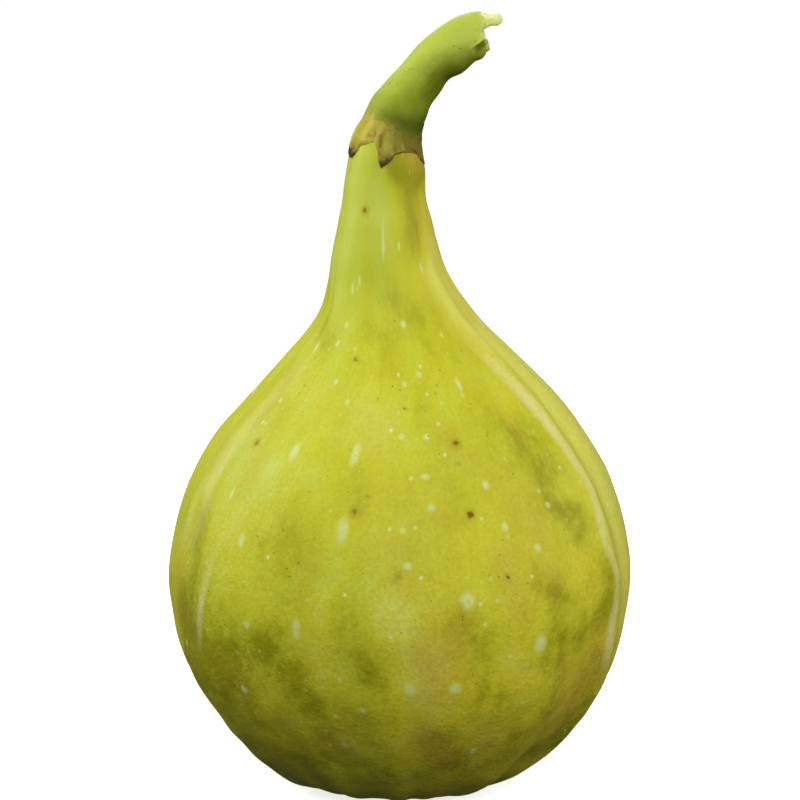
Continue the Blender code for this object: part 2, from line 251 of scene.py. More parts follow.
# The studio, with its softboxes as (name, azimuth, elevation, size, brightness).
SOFTBOXES = (
    ("left", -100, 33, 300, 0.72), ("front", 3, 34, 300, 0.71), ("right", 82, 20, 260, 0.41),
    ("back", 180, 30, 260, 0.30),
)
SOFTBOX_DISTANCE = 420
SOFTBOX_AIM = 34
ROOM_LIGHT = 0.06
CAMERA_ELEVATION = 9
CAMERA_DISTANCE = 310
CAMERA_AIM = 40.9
HALF_VIEW = 41.65
FLOOR_REACH = 20  # in metres

# ---- Lines and noise ----


def smooth_line(points, per_span=16):
    """Points along a smooth curve through the given ones, per_span to each span."""
    points = [np.array(point, float) for point in points]
    ends = [2 * points[0] - points[1], *points, 2 * points[-1] - points[-2]]
    line = []
    for a, b, c, d in zip(ends, ends[1:], ends[2:], ends[3:]):
        for t in np.arange(per_span) / per_span:
            bend = (2 * a - 5 * b + 4 * c - d) * t**2 + (3 * b - a - 3 * c + d) * t**3
            line.append(0.5 * (2 * b + (c - a) * t + bend))
    return np.array([*line, points[-1]])


def lengths_along(line):
    """Distance along a line to each of its points."""
    steps = np.linalg.norm(np.diff(line, axis=0), axis=1)
    return np.concatenate([[0], np.cumsum(steps)])


def evenly(line, count, columns=2):
    """The same line as count points at even distances, measured on its first columns."""
    along = lengths_along(line[:, :columns])
    places = np.linspace(0, along[-1], count)
    return np.stack([np.interp(places, along, column) for column in line.T], axis=1)


def smooth_step(value, low, high):
    """0 up to low, 1 from high and a smooth rise between."""
    t = np.clip((value - low) / (high - low), 0, 1)
    return t * t * (3 - 2 * t)


def plateau(value, start, full, fading, end):
    """0 up to start, 1 from full to fading and 0 again from end."""
    return smooth_step(value, start, full) * (1 - smooth_step(value, fading, end))


def hump(value, centre, half_width):
    """A smooth hump, 1 at its centre."""
    return np.exp(-(((value - centre) / half_width) ** 2))


def line_at(heights, line):
    """The first value of each point of a line, at these heights."""
    order = np.argsort(line[:, 1])
    return np.interp(heights, line[order, 1], line[order, 0])


def turn_between(azimuth, centre):
    """Degrees from centre to azimuth, the short way round."""
    return (azimuth - centre + 180) % 360 - 180


def lumps(places, size, seed):
    """Smooth noise from about -1 to 1 at each place, with lumps of about that size."""
    shift = Vector((seed * 7.3, seed * 3.1, seed * 5.7))
    return np.array([noise.noise(Vector(place) / size + shift) for place in places])


# ---- Meshes ----


def stored(mesh, name):
    """The values of one of the mesh's own layers, one for each vertex."""
    values = np.empty(len(mesh.vertices), np.float32)
    mesh.attributes[name].data.foreach_get("value", values)
    return values.astype(float)


def vectors(items, name):
    """A vector property of vertices or faces, as rows."""
    values = np.empty(len(items) * 3, np.float32)
    items.foreach_get(name, values)
    return values.reshape(-1, 3).astype(float)


def counts(items, name):
    """A whole-number property of corners or faces."""
    values = np.empty(len(items), np.int32)
    items.foreach_get(name, values)
    return values


def place(mesh, points):
    """Moves the mesh's vertices to points of the drawing."""
    mesh.vertices.foreach_set("co", np.asarray(points * MM, np.float32).ravel())
    mesh.update()


def paint(mesh, name, values):
    """Stores a number or a vector on each vertex for the materials to read."""
    values = np.asarray(values, np.float32)
    kind, field = ("FLOAT_VECTOR", "vector") if values.ndim == 2 else ("FLOAT", "value")
    mesh.attributes.new(name, kind, "POINT").data.foreach_set(field, values.ravel())


def mesh_of(shape, name):
    """Ends the modelling of a shape."""
    mesh = bpy.data.meshes.new(name)
    shape.to_mesh(mesh)
    shape.free()
    mesh.shade_smooth()
    return mesh


def closed_mesh(shape, name):
    """Ends the modelling of a closed shape: its doubles merge and its faces turn outwards."""
    bmesh.ops.remove_doubles(shape, verts=shape.verts, dist=DOUBLES)
    bmesh.ops.recalc_face_normals(shape, faces=shape.faces)
    return mesh_of(shape, name)


def map_for_baking(mesh, turn, share):
    """Unrolls a round piece into one sheet, from each vertex's angle in radians and share of the way."""
    corner = counts(mesh.loops, "vertex_index")
    pole = 1e-5  # the vertices at both ends have no angle of their own
    inside = (share[corner] > pole) & (share[corner] < 1 - pole)
    directions = np.exp(1j * turn[corner]) * inside
    middles = np.angle(np.add.reduceat(directions, counts(mesh.polygons, "loop_start")))
    middle = np.repeat(middles, counts(mesh.polygons, "loop_total"))
    across = middle + np.angle(np.exp(1j * (turn[corner] - middle))) * inside
    margin = 0.005
    sheet = np.stack([across / math.tau + 0.5, share[corner]], axis=1) * (1 - 2 * margin) + margin
    mesh.uv_layers.new(name="OFBake").data.foreach_set("uv", sheet.astype(np.float32).ravel())


def drawn_tube(name, sides, rings):
    """A closed tube drawn out ring by ring, to be placed by each vertex's ring and turn in radians."""
    shape = bmesh.new()
    turn = shape.verts.layers.float.new("turn")
    number = shape.verts.layers.float.new("ring")
    bmesh.ops.create_circle(shape, segments=sides, radius=1)
    for vertex in shape.verts:
        vertex[turn] = math.atan2(vertex.co.y, vertex.co.x)
        vertex.co = (0, 0, 0)
    rim = list(shape.edges)
    for ring in range(1, rings):
        radius = 0 if ring == rings - 1 else 1
        made = bmesh.ops.extrude_edge_only(shape, edges=rim)["geom"]
        rim = [item for item in made if isinstance(item, bmesh.types.BMEdge)]
        for vertex in [item for item in made if isinstance(item, bmesh.types.BMVert)]:
            vertex[number] = ring
            vertex.co = (radius * math.cos(vertex[turn]), radius * math.sin(vertex[turn]), ring)
    return closed_mesh(shape, name)


def linked(name, data):
    """A new object in the scene."""
    obj = bpy.data.objects.new(name, data)
    bpy.context.scene.collection.objects.link(obj)
    return obj


def piece(name, mesh, finishes, slot, *replaced):
    """A finished piece of the fig, in place of the frame's own nodes."""
    obj = linked(name, mesh)
    for finish in finishes:
        mesh.materials.append(finish)
    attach(obj, "root")
    if replaced:
        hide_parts(*replaced)
    return obj


# ---- Material helpers ----


class Signal:
    """A node's output. Sums, differences and products of it add Math nodes."""

    def __init__(self, finish, socket):
        self.finish = finish
        self.socket = socket

    def maths(self, operation, *values):
        return self.finish.node("Math", {"operation": operation}, dict(enumerate(values)))

    def __add__(self, other):
        return self.maths("ADD", self, other)

    def __sub__(self, other):
        return self.maths("SUBTRACT", self, other)

    def __rsub__(self, other):
        return self.maths("SUBTRACT", other, self)

    def __mul__(self, other):
        return self.maths("MULTIPLY", self, other)

    __radd__ = __add__
    __rmul__ = __mul__

    def ramp(self, low, high):
        """0 at low, 1 at high and a smooth rise between; low may be the greater."""
        ends = {"Value": self, "From Min": min(low, high), "From Max": max(low, high)}
        rise = self.finish.node("MapRange", {"interpolation_type": "SMOOTHSTEP"}, ends)
        return rise if high > low else 1 - rise


class Finish:
    """A material under construction, on one Principled shader."""

    def __init__(self, name):
        self.material = bpy.data.materials.new(name)
        self.material.use_nodes = True
        self.tree = self.material.node_tree
        self.shader = self.tree.nodes["Principled BSDF"]

    def node(self, kind, settings, inputs, output=0):
        """Adds a node: its settings first, then a value or a link for each socket named."""
        made = self.tree.nodes.new("ShaderNode" + kind)
        for name, value in settings.items():
            setattr(made, name, value)
        for name, value in inputs.items():
            self.feed(made.inputs[name], value)
        return Signal(self, made.outputs[output])

    def feed(self, socket, value):
        if isinstance(value, Signal):
            self.tree.links.new(value.socket, socket)
        else:
            socket.default_value = value

    def set(self, **values):
        """Feeds the shader's own sockets, with _ for a space in a name."""
        for name, value in values.items():
            self.feed(self.shader.inputs[name.replace("_", " ")], value)

    def stored(self, name, output="Fac"):
        return self.node("Attribute", {"attribute_name": name}, {}, output)

    def position(self):
        """Where a point of the piece is, in millimetres of the drawing."""
        return self.stretched(self.node("TexCoord", {}, {}, "Object"), 1 / MM, 1 / MM, 1 / MM)

    def stretched(self, vector, *shares):
        return self.node("VectorMath", {"operation": "MULTIPLY"}, {0: vector, 1: shares})

    def shifted(self, vector, *offset):
        return self.node("VectorMath", {"operation": "ADD"}, {0: vector, 1: offset})

    def part(self, vector, axis):
        return self.node("SeparateXYZ", {}, {"Vector": vector}, axis)

    def noise(self, vector, size, detail=2.0, roughness=0.5):
        """Noise around 0.5 with features of about this size in millimetres."""
        inputs = {"Vector": vector, "Scale": 1 / size, "Detail": detail, "Roughness": roughness}
        return self.node("TexNoise", {}, inputs, 0)

    def dots(self, vector, spacing):
        """Distance to scattered centres, in shares of their spacing."""
        return self.node("TexVoronoi", {}, {"Vector": vector, "Scale": 1 / spacing}, "Distance")

    def mix(self, low, high, amount):
        """From one colour to another."""
        settings = {"data_type": "RGBA", "clamp_factor": True}
        return self.node("Mix", settings, {0: amount, 6: low, 7: high}, 2)

    def shade(self, colour, amount):
        """A colour made darker or lighter by a factor that may vary."""
        grey = self.node("CombineXYZ", {}, {"X": amount, "Y": amount, "Z": amount})
        return self.node("VectorMath", {"operation": "MULTIPLY"}, {0: colour, 1: grey})

    def bumps(self, height, depth):
        """A normal from a height between 0 and 1 that stands for this depth in millimetres."""
        return self.node("Bump", {}, {"Height": height, "Distance": depth * MM, "Strength": 1.0})


def tint(red, green, blue):
    """A colour from its usual 0 to 255 values, as light."""
    shares = [value / 255 for value in (red, green, blue)]
    linear = [s / 12.92 if s <= 0.04045 else ((s + 0.055) / 1.055) ** 2.4 for s in shares]
    return (*linear, 1.0)


SKIN_GREEN = tint(190, 204, 54)
SKIN_YELLOW = tint(213, 202, 42)
SKIN_OLIVE_AND_SHADE = tint(152, 152, 14)
SKIN_PALE_AND_LIT_GREEN = tint(218, 228, 112)
SKIN_PALE_AND_LIT_YELLOW = tint(228, 218, 78)
SKIN_BLUSH = tint(196, 158, 58)
CREST_CREAM = tint(232, 226, 158)
FLECK_CREAM = tint(216, 226, 142)
DOT_CREAM = tint(232, 236, 156)
SPECK_CREAM = tint(222, 220, 110)
SPOT_OLIVE = tint(140, 142, 18)
SPOT_DARK = tint(112, 52, 14)
SPOT_BROWN = tint(158, 84, 26)
SPECK_DARK = tint(82, 72, 6)
COLLAR_TAN = tint(172, 162, 46)
COLLAR_STRAW = tint(214, 204, 86)
COLLAR_ORANGE = tint(172, 120, 40)
COLLAR_OLIVE_SHADE = tint(96, 92, 10)
BARK_UNDERSIDE_SHADE = tint(104, 114, 14)
BARK_GREEN = tint(172, 190, 54)
BARK_PAINTED_LIGHT = tint(188, 204, 78)
BARK_LOW_SHADE = tint(126, 140, 24)
BARK_FOOT_SHADE = tint(76, 88, 8)
BARK_DOT = tint(84, 92, 14)
BARK_SCAR = tint(112, 112, 14)
BARK_LIP = tint(206, 212, 112)
PITH_GREEN = tint(226, 234, 120)
PITH_CREAM = tint(255, 255, 176)
BRACT_STRAW = tint(190, 180, 92)
BRACT_BROWN = tint(118, 78, 26)
BRACT_MARGIN = tint(126, 80, 26)
BRACT_TIP = tint(64, 34, 14)
EYE_RED = tint(128, 66, 40)
EYE_OLIVE = tint(150, 140, 56)

# ---- Materials ----


def skin_finish():
    """The fruit's skin: mottled from green to yellow, with pale crests and flecks, olive shades, and some
    painted shade and painted light.
    """
    f = Finish("fig skin")
    growth = f.stored("growth", "Vector")
    calm = f.part(f.position(), "Z").ramp(58, 44) * 0.6 + 0.4
    streaks = (f.noise(f.stretched(growth, 1, 1, 0.22), 2.4, 3.0, 0.55) - 0.5) * calm
    clouds = f.noise(growth, 8.0, 3.0, 0.5) - 0.5
    patches = f.noise(f.shifted(growth, 40, 7, 19), 4.2, 4.0, 0.6) - 0.5
    mottle = (f.noise(growth, 1.5, 3.0, 0.65) - 0.5) * calm
    grain = (f.noise(growth, 0.40, 2.0, 0.65) - 0.5) * calm
    low = f.part(f.position(), "Z").ramp(36, 12)

    # From green to yellow, then darker and more olive or paler: the skin's own mottling, plus painted shade
    # and painted light where the shade marks put them.
    ripeness = f.stored("ripeness") + clouds * 1.0 + patches * 0.6 + streaks * 0.3 + mottle * 0.3
    depth = f.stored("shade") * (1 + patches + mottle) + patches * 0.60 + clouds * 0.30 + streaks * 0.62
    depth = depth + mottle * (low * 0.5 + 0.5)
    colour = f.mix(SKIN_GREEN, SKIN_YELLOW, ripeness)
    colour = f.mix(colour, SKIN_OLIVE_AND_SHADE, depth.ramp(-0.10, 0.80) * 0.95)
    pale = f.mix(SKIN_PALE_AND_LIT_GREEN, SKIN_PALE_AND_LIT_YELLOW, ripeness - 0.15)
    colour = f.mix(colour, pale, depth.ramp(0.05, -0.80) * 0.90)
    blush = f.stored("blush") * (1 + mottle * 1.2 + patches)
    colour = f.mix(colour, SKIN_BLUSH, blush)
    colour = f.shade(colour, 1 + grain * (low * 0.25 + 0.30) + mottle * 0.12)

    # Pale crest lines, large flecks, dots and fine specks.
    crest = f.stored("crest")
    broken = 0.75 + patches * 1.6 + mottle * 1.2 + grain * 0.6
    line = (crest * crest).ramp(4.4, -0.7) * f.stored("crest_strength") * broken
    colour = f.mix(colour, CREST_CREAM, line)
    ragged = grain * 1.4 + mottle * 0.9
    fleck = (f.stored("fleck") + ragged).ramp(1.30, 0.40)
    colour = f.mix(colour, FLECK_CREAM, fleck * (0.85 + grain * 1.8))
    uneven = f.noise(f.shifted(growth, 17, 2, 51), 3.0).ramp(0.38, 0.64) * 0.65 + 0.25
    dot = (f.dots(growth, 2.3) + grain * 0.05).ramp(0.145, 0.03)
    colour = f.mix(colour, DOT_CREAM, dot * uneven)
    speck = f.dots(f.shifted(growth, 5, 9, 3), 1.0).ramp(0.16, 0.05)
    colour = f.mix(colour, SPECK_CREAM, speck * 0.45)

    # Brown spots, each in an olive ring, and scattered dark specks.
    spot = f.stored("spot") + ragged
    colour = f.mix(colour, SPOT_OLIVE, spot.ramp(3.0, 0.8) * 0.4)
    russet = f.mix(SPOT_DARK, SPOT_BROWN, mottle * 2.4 + 0.5)
    colour = f.mix(colour, russet, spot.ramp(1.30, 0.50) * 0.9)
    crowd = f.noise(f.shifted(growth, 31, 3, 8), 4.0).ramp(0.50, 0.60)
    dark = f.dots(f.shifted(growth, 13, 21, 7), 1.0).ramp(0.13, 0.05) * crowd
    colour = f.mix(colour, SPECK_DARK, dark * 0.75)

    relief = mottle * 0.4 + grain * 0.35 + streaks * 0.4 + fleck * 0.12
    f.set(Base_Color=colour, Roughness=0.52 + mottle * 0.15, Normal=f.bumps(relief, 0.15))
    f.set(Specular_IOR_Level=0.13, Subsurface_Weight=0.12, Subsurface_Scale=1.5 * MM)
    f.set(Subsurface_Radius=(1.0, 0.9, 0.3))
    return f.material


def dry_colour(f, mottle, fine):
    """The dry tan of the collar, duller and more olive towards its right, partly its own colour and partly
    painted shade.
    """
    colour = f.mix(COLLAR_TAN, COLLAR_STRAW, mottle * 2.6 + 0.5)
    orange = f.noise(f.shifted(f.position(), 3, 8, 5), 1.1, 2.0, 0.5) + fine * 0.3
    colour = f.mix(colour, COLLAR_ORANGE, orange.ramp(0.54, 0.72) * 0.6)
    # Towards the right the tan turns dark olive: partly its own colour and partly painted shade.
    right = (f.part(f.position(), "X") + mottle * 2.4).ramp(-3.0, 1.0)
    return f.mix(colour, COLLAR_OLIVE_SHADE, right * 0.84)


def bark_colour(f):
    """Green bark with painted shade underneath, low down and at its foot and painted light on its upper
    left, that dries to tan in the collar, and its noises.
    """
    along = f.stored("along")
    around = f.stored("around", "Vector")
    side = f.part(around, "X") * 0.4  # 1 on the upper left, -1 on the lower right
    streaks = f.noise(f.stretched(around, 1, 1, 0.25), 1.2, 3.0, 0.55) - 0.5
    mottle = f.noise(around, 1.5, 3.0, 0.55) - 0.5
    fine = f.noise(around, 0.32, 2.0, 0.6) - 0.5
    uneven = mottle * 0.8 + streaks * 0.7
    # Painted shade and painted light: darker on the lower right, low down and at the foot, paler on the
    # upper left towards the broken end.
    colour = f.mix(BARK_UNDERSIDE_SHADE, BARK_GREEN, (side + uneven).ramp(-0.8, 0.7))
    colour = f.mix(colour, BARK_PAINTED_LIGHT, (along + side * 6.0 + uneven * 3).ramp(6.5, 15.0) * 0.95)
    colour = f.mix(colour, BARK_LOW_SHADE, (along + side * 2.5 + mottle).ramp(9.5, 4.0) * 0.55)
    colour = f.mix(colour, BARK_FOOT_SHADE, (along + side * 1.3 + mottle).ramp(5.0, 2.3) * 0.88)
    rim = along + f.part(f.position(), "X") * 0.16 + mottle * 1.8 + streaks + fine * 1.2
    return f.mix(colour, dry_colour(f, mottle, fine), rim.ramp(3.3, 1.6)), mottle, streaks, fine


def bark_finish():
    """The stalk's green bark, with dark dots, the torn scar and the pale lip of its broken end."""
    f = Finish("stalk bark")
    colour, mottle, streaks, fine = bark_colour(f)
    dark = f.dots(f.stored("around", "Vector"), 1.3).ramp(0.10, 0.04)
    colour = f.mix(colour, BARK_DOT, dark * 0.6)
    colour = f.mix(colour, BARK_SCAR, f.stored("scar") * 0.8)
    colour = f.mix(colour, BARK_LIP, f.stored("lip") * 0.8)
    colour = f.shade(colour, 1 + fine * 0.16)
    relief = streaks * 0.5 + mottle * 0.3 + fine * 0.3
    f.set(Base_Color=colour, Roughness=0.52 + mottle * 0.2, Normal=f.bumps(relief, 0.11))
    f.set(Specular_IOR_Level=0.09, Subsurface_Weight=0.1, Subsurface_Scale=1.0 * MM)
    f.set(Subsurface_Radius=(0.8, 1.0, 0.3))
    return f.material


def pith_finish():
    """The pale, wet wood inside the broken stalk."""
    f = Finish("stalk pith")
    fibres = f.noise(f.stretched(f.position(), 0.4, 1, 1), 0.6, 3.0, 0.6) - 0.5
    colour = f.mix(PITH_GREEN, PITH_CREAM, fibres * 1.8 + 0.5)
    f.set(Base_Color=colour, Roughness=0.4 + fibres * 0.3, Normal=f.bumps(fibres, 0.06))
    f.set(Subsurface_Weight=0.5, Subsurface_Scale=2.0 * MM, Subsurface_Radius=(1.0, 1.0, 0.4))
    return f.material


def bract_finish():
    """A dry basal bract, which grows out of the bark: tan, with brown folds and margins and a dark tip."""
    f = Finish("dry bract")
    colour, mottle, _, fine = bark_colour(f)
    down = f.stored("down")
    colour = f.mix(colour, BRACT_STRAW, f.stored("pale"))
    colour = f.mix(colour, BRACT_BROWN, f.stored("brown") * (0.75 + mottle * 1.6 + fine * 1.2))
    dark_side = 1 - f.part(f.position(), "X").ramp(-1.0, 2.0) * 0.6
    margin = (f.stored("edge") + mottle * 0.5 + fine * 0.4).ramp(0.70, 1.05) * down.ramp(0.55, 0.80)
    colour = f.mix(colour, BRACT_MARGIN, margin * 0.7 * dark_side)
    tip = (down + mottle * 0.34 + fine * 0.20).ramp(0.71, 0.90)
    colour = f.mix(colour, BRACT_TIP, tip * 0.95 * dark_side)
    f.set(Base_Color=colour, Roughness=0.6 + fine * 0.1, Normal=f.bumps(mottle * 0.6 + fine * 0.4, 0.08))
    f.set(Specular_IOR_Level=0.12)
    return f.material


def eye_finish():
    """The small scales that close the eye, reddish where they meet."""
    f = Finish("eye scale")
    mottle = f.noise(f.position(), 0.5, 3.0, 0.6) - 0.5
    colour = f.mix(EYE_RED, EYE_OLIVE, f.stored("out") + mottle * 0.8)
    f.set(Base_Color=colour, Roughness=0.62, Normal=f.bumps(mottle, 0.10))
    f.set(Specular_IOR_Level=0.3)
    return f.material


# ---- The fruit ----


def turned_fruit(line):
    """The outline turned about the fruit's axis. Each vertex keeps its distance along the outline."""
    shape = bmesh.new()
    along = shape.verts.layers.float.new("along")
    profile = []
    for distance, (radius, height) in zip(lengths_along(line), line):
        vertex = shape.verts.new((radius, 0, height))
        vertex[along] = distance
        profile.append(vertex)
    edges = [shape.edges.new(pair) for pair in zip(profile, profile[1:])]
    bmesh.ops.spin(
        shape, geom=profile + edges, axis=(0, 0, 1), cent=(0, 0, 0),
        angle=math.tau, steps=TURN_STEPS, use_merge=True,
    )
    bmesh.ops.remove_doubles(shape, verts=shape.verts, dist=TURNED_DOUBLES)
    bmesh.ops.subdivide_edges(shape, edges=shape.edges, cuts=FINER - 1, use_grid_fill=True)
    return closed_mesh(shape, "fruit")


def trued(mesh, line):
    """The mesh's points brought back onto the outline after it was subdivided."""
    points = vectors(mesh.vertices, "co")
    along = stored(mesh, "along")
    angle = np.arctan2(points[:, 0], -points[:, 1])
    radius, height = (np.interp(along, lengths_along(line), column) for column in line.T)
    return np.stack([radius * np.sin(angle), -radius * np.cos(angle), height], axis=1)


def stand_and_lean(points):
    """Narrows the fruit front to back, moves its sections onto their middles and tilts its collar."""
    x, y, z = points.T
    tilt = math.tan(COLLAR_TILT) * smooth_step(z, NECK_HEIGHT, COLLAR_HEIGHT)
    middle = line_at(z, smooth_line(MIDDLE_LINE))
    return np.stack([x + middle, y * DEPTH_SHARE, z - tilt * x], axis=1)


class Skin:
    """Places on the fruit's skin: azimuth in degrees, height, radius and distance along the outline."""

    def __init__(self, line, points, along):
        self.azimuth = np.degrees(np.arctan2(points[:, 0], -points[:, 1]))
        self.radius = np.hypot(points[:, 0], points[:, 1])
        self.height = points[:, 2]
        self.along = along
        self.line = line
        self.lengths = lengths_along(line)
        self.foot = int(np.argmin(line[:, 1]))
        self.in_eye = along > self.lengths[self.foot]
        self.climb = (self.height - GIRTH_HEIGHT) / GIRTH_HEIGHT

    def place_of(self, height):
        """Distance along the outline to a height on the outside."""
        return np.interp(height, self.line[: self.foot][::-1, 1], self.lengths[: self.foot][::-1])

    def across(self, azimuth):
        """Distance round the fruit from an azimuth."""
        return np.radians(turn_between(self.azimuth, azimuth)) * self.radius

    def growth(self):
        """Coordinates in which the skin's pattern is even, though it is drawn out along the neck."""
        above = self.line[:, 1] > GIRTH_HEIGHT
        slimness = np.sqrt(np.maximum(self.line[:, 0], 3) / GIRTH)
        steps = np.diff(self.lengths, prepend=0) * np.where(above, slimness, 0)
        climbs = np.cumsum(steps[::-1])[::-1]
        wide = np.where(above, slimness * GIRTH, self.line[:, 0])
        up = np.where(above, GIRTH_HEIGHT + climbs, self.line[:, 1])
        reach = np.interp(self.along, self.lengths, wide)
        angle = np.radians(self.azimuth)
        tall = np.interp(self.along, self.lengths, up)
        return np.stack([reach * np.sin(angle), -reach * np.cos(angle), tall], axis=1)

    def ribs(self):
        total = np.zeros_like(self.azimuth)
        for azimuth, drift, rise, half_width in RIBS:
            apart = turn_between(self.azimuth, azimuth + drift * self.climb)
            total += rise * hump(apart, 0, half_width)
        return total * plateau(self.height, *RIB_HEIGHTS)

    def relief(self, growth):
        """Ribs, shallow lumps, and the puckers and swellings round the foot."""
        relief = self.ribs()
        for rise, size, seed in BODY_LUMPS:
            relief += rise * smooth_step(self.height, 0.6, 8) * lumps(growth, size, seed)
        low = (1 - smooth_step(self.height, 6, 20)) * smooth_step(self.radius, 6.5, 11)
        angle = np.radians(self.azimuth)
        puckers = sum(share * np.cos(number * angle + turn) for number, turn, share in PUCKERS)
        rise, size, seed = FOOT_LUMPS
        relief += low * (PUCKER_RISE * puckers + rise * lumps(growth, size, seed))
        return relief + self.marks(SWELLINGS)

    def marks(self, marks):
        """The sum of soft marks, each drawn from one place to another."""
        total = np.zeros_like(self.azimuth)
        for azimuth, height, to_azimuth, to_height, half_width, depth in marks:
            across, up = self.across(azimuth), self.place_of(height) - self.along
            run = np.radians(turn_between(to_azimuth, azimuth)) * self.radius
            rise = self.place_of(height) - self.place_of(to_height)
            way = np.clip((across * run + up * rise) / (run**2 + rise**2), 0, 1)
            total += depth * hump(np.hypot(across - way * run, up - way * rise), 0, half_width)
        return total

    def ripeness(self):
        """From green on the left and the neck to yellow on the right and low down."""
        neck = smooth_step(self.height, 44, 58)
        side = np.cos(np.radians(self.azimuth - RIPEST_SIDE))
        return 0.58 + (0.2 + 0.24 * neck) * side - 0.16 * neck + 0.014 * np.clip(28 - self.height, 0, 16)

    def nearest(self, marks):
        """Distance to the nearest mark, in shares of that mark's half length and half width."""
        nearest = np.full(len(self.azimuth), MARK_FAR)
        for azimuth, height, length, width in marks:
            down = (self.along - self.place_of(height)) * 2 / length
            nearest = np.minimum(nearest, np.hypot(down, self.across(azimuth) * 2 / width))
        return np.where(self.in_eye, MARK_FAR, nearest)

    def crests(self):
        """Distance across the nearest crest line, in shares of its half width, and that line's strength."""
        distance = np.full(len(self.azimuth), CREST_FAR)
        strength = np.zeros_like(distance)
        for half_width, full, points in CRESTS:
            line = smooth_line(points)
            low, high = line[-1, 1], line[0, 1]
            across = self.across(line_at(self.height, line)) / half_width
            ends = plateau(self.height, low, low + 5, high - 7, high)
            nearer = np.abs(across) < np.abs(distance)
            distance = np.where(nearer, across, distance)
            strength = np.where(nearer, full * ends * (1 - smooth_step(np.abs(across), 3, 5)), strength)
        return np.clip(distance, -CREST_FAR, CREST_FAR), strength


def back_flecks():
    """Flecks for the sides and the back."""
    scatter = random.Random(11)
    marks = []
    for _ in range(BACK_FLECKS):
        height = scatter.uniform(8, 50)
        size = scatter.uniform(0.7, 1.5)
        stretch = 1 + max(0, height - 30) / 20
        marks.append((180 + scatter.uniform(-118, 118), height, size * stretch, size * 0.8))
    return marks


def make_fruit(finish, line):
    mesh = turned_fruit(evenly(line, TURN_ROWS + 1))
    points = trued(mesh, line)
    mesh.vertices.foreach_set("co", points.astype(np.float32).ravel())
    mesh.update()
    skin = Skin(line, points, stored(mesh, "along"))
    growth = skin.growth()
    normals = vectors(mesh.vertices, "normal")
    standing = stand_and_lean(points + normals * skin.relief(growth)[:, None])
    standing[:, 2] = np.maximum(standing[:, 2], 0)
    place(mesh, standing)
    map_for_baking(mesh, np.radians(skin.azimuth), skin.along / skin.lengths[-1])
    crest, strength = skin.crests()
    neck = smooth_step(skin.height, 50, 60)
    paint(mesh, "growth", growth)
    paint(mesh, "ripeness", skin.ripeness())
    paint(mesh, "shade", skin.marks(SHADES) - 0.25 * neck + 0.35 * skin.in_eye)
    paint(mesh, "blush", skin.marks(BLUSHES))
    paint(mesh, "crest", crest)
    paint(mesh, "crest_strength", strength)
    paint(mesh, "fleck", skin.nearest([*FLECKS, *back_flecks()]))
    paint(mesh, "spot", skin.nearest([(a, h, size, size) for a, h, size in SPOTS]))
    piece("fruit", mesh, [finish], "fig_skin", "fig_body")


# ---- The stalk ----


def bark_relief(along, turn, end):
    """How far the bark stands out, and how much of each point is scar and torn lip."""
    waves = 0.05 * np.sin(3 * turn + along * 0.5) + 0.04 * np.sin(5 * turn - along)
    turn = np.degrees(turn) % 360
    swelling = 0.24 * hump(along, end - 4.4, 1.1) - 0.16 * hump(along, end - 6.8, 0.9)
    torn = smooth_step(along, end - 2.6, end - 1.4)
    scar = torn * plateau(turn, *SCAR_TURNS)
    flap = torn * plateau(turn, *FLAP_TURNS)
    rim = smooth_step(along, end - 0.5, end - 0.1)
    lip = np.maximum(hump(turn, *LIP_TURN) * smooth_step(along, end - 3.0, end - 2.0), rim)
    torn_relief = 0.26 * flap - 0.34 * scar + 0.05 * lip * (1 - rim)
    return waves + swelling * hump(turn, *SWELLING_TURN) + torn_relief, scar, lip


class Tube:
    """Directions and distances along a centreline of (x, y, height, radius) that bends sideways."""

    def __init__(self, points, rings):
        line = evenly(smooth_line(points), rings, 3)
        self.centre, self.radius = line[:, :3], line[:, 3]
        self.along = lengths_along(self.centre)
        self.run = np.gradient(self.centre, axis=0)
        self.run /= np.linalg.norm(self.run, axis=1)[:, None]
        self.front = np.array([0, -1, 0]) + self.run * self.run[:, 1:2]
        self.front /= np.linalg.norm(self.front, axis=1)[:, None]
        self.outer = np.cross(self.front, self.run)

    def at(self, along, rows):
        """Rows of the centreline read off at these distances along it."""
        return np.stack([np.interp(along, self.along, column) for column in rows.T], axis=1)

    def spokes(self, along, turn, front_share=1.0):
        """Directions from the centreline, turned from its outer side towards its front."""
        outer, front = self.at(along, self.outer), self.at(along, self.front)
        return outer * np.cos(turn)[:, None] + front * np.sin(turn)[:, None] * front_share

    def thickness(self, along):
        return np.interp(along, self.along, self.radius)


def around_stalk(along, turn):
    """Coordinates in which the bark's pattern is even however the stalk bends."""
    return np.stack([2.5 * np.cos(turn), 2.5 * np.sin(turn), along], axis=1)


